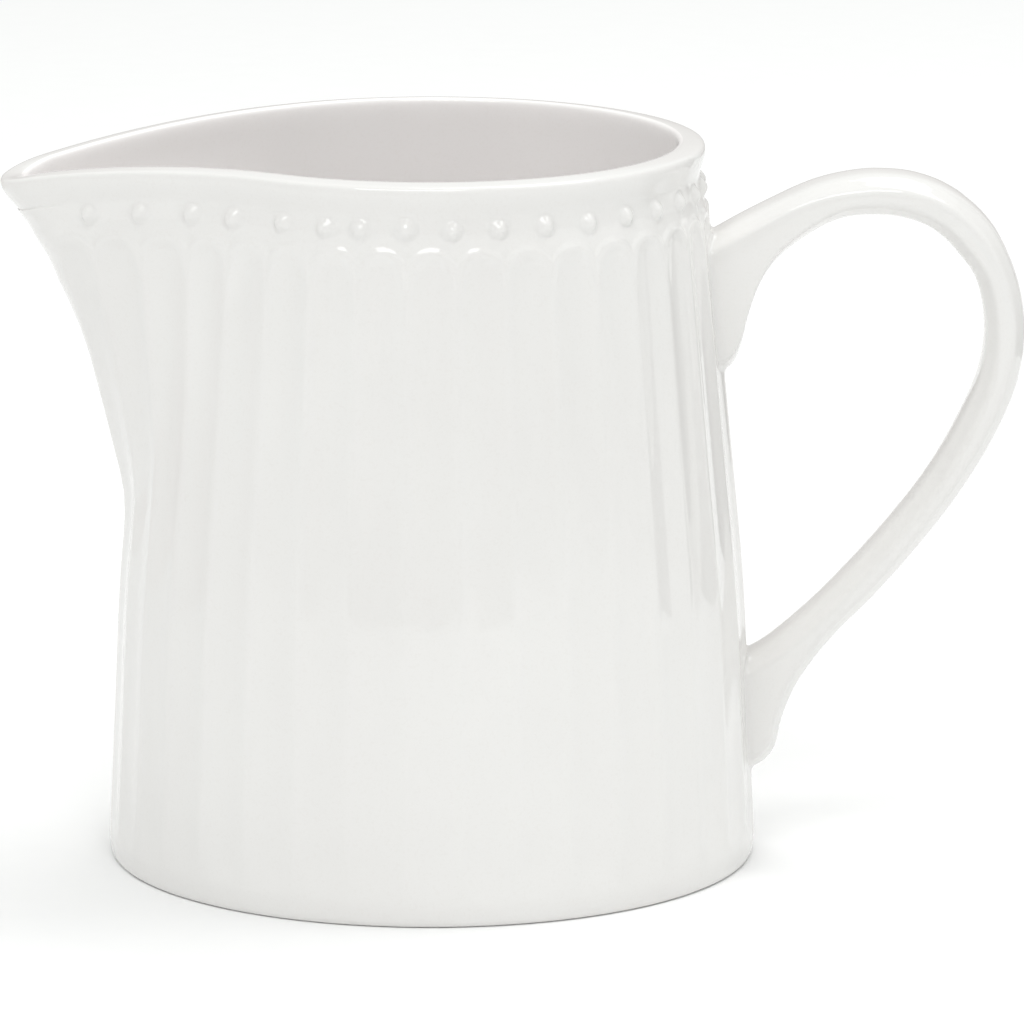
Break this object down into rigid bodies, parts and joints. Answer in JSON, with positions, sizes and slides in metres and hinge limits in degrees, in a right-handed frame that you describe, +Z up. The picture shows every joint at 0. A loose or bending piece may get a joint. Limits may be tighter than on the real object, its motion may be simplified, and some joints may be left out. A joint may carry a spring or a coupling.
{
  "type": "cream jug",
  "caption": "Fluted white porcelain cream jug with a band of beads under its rolled lip, a drawn pouring spout, an unglazed foot ring and a strap handle stuck on with slip.",
  "frame": {"origin": "centre of the foot ring, on the surface that the jug stands on", "axes": "+Z up along the axis of the round wall, +X towards the handle, -X towards the spout"},
  "size_m": [0.1334, 0.0852, 0.095],
  "materials": {
    "white_glaze": "clear gloss glaze over white porcelain"
  },
  "bodies": {
    "root": {"jug_body": "white_glaze", "handle": "white_glaze", "upper_handle_slip": "white_glaze", "lower_handle_slip": "white_glaze"}
  },
  "joints": []
}
